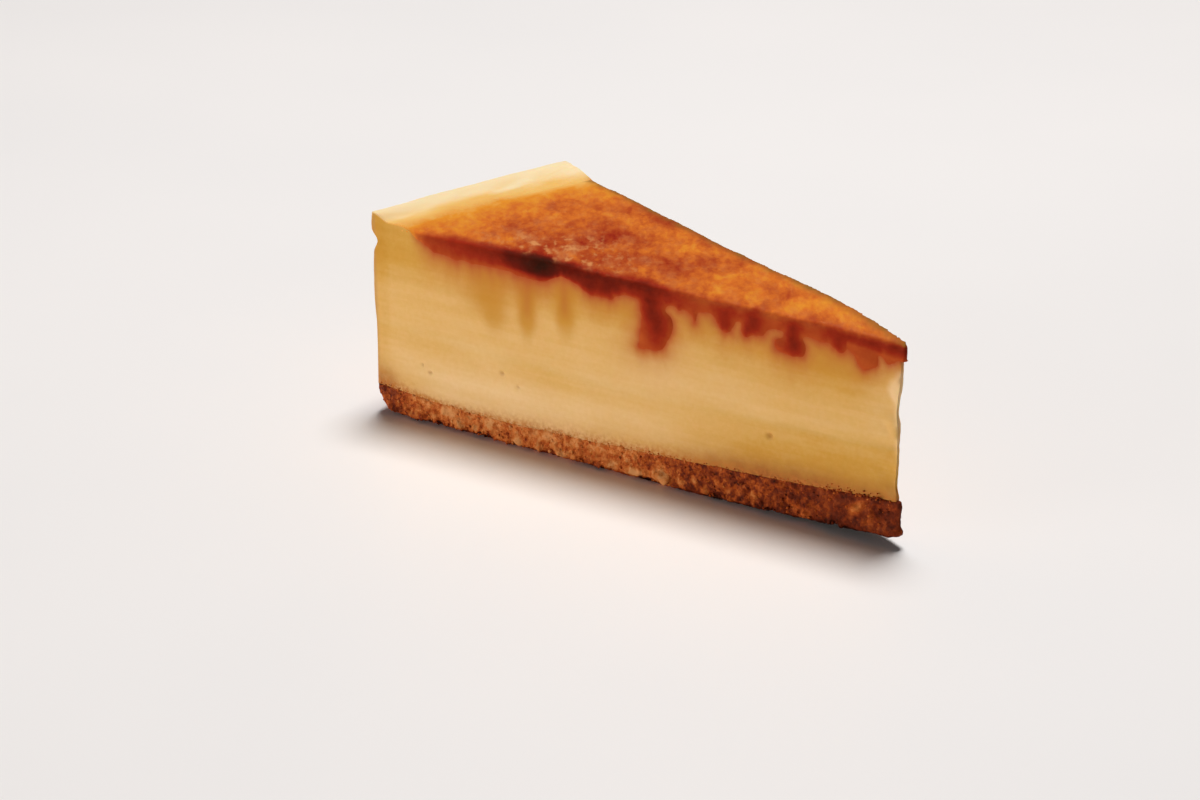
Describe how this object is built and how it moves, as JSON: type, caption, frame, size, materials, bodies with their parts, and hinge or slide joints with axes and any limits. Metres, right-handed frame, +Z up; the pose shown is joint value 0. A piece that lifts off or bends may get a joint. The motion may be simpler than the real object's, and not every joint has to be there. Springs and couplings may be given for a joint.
{
  "type": "creme brulee cheesecake slice",
  "caption": "Wedge cut from a round baked cheesecake: crumb base, creamy filling in layers, pale raised rim and a burnt caramel top that drips down its cuts.",
  "frame": {"origin": "on the surface that the slice stands on, under the middle of its box", "axes": "+X towards the point of the wedge, +Z up, -Y is the side of the cut face with the long caramel drip"},
  "size_m": [0.1275, 0.0571, 0.0458],
  "materials": {
    "crumb": "granular baked biscuit crumb, matt with a faint butter sheen",
    "cheesecake": "moist dense baked cheesecake, satin, slightly translucent",
    "custard": "smooth set custard, satin, slightly translucent",
    "caramel": "burnt sugar glaze, glossy, mottled orange to near black"
  },
  "bodies": {
    "root": {"crumb_base": "crumb", "cheesecake_layer": "cheesecake", "custard_layer": "custard", "caramel_top": "caramel"}
  },
  "joints": []
}
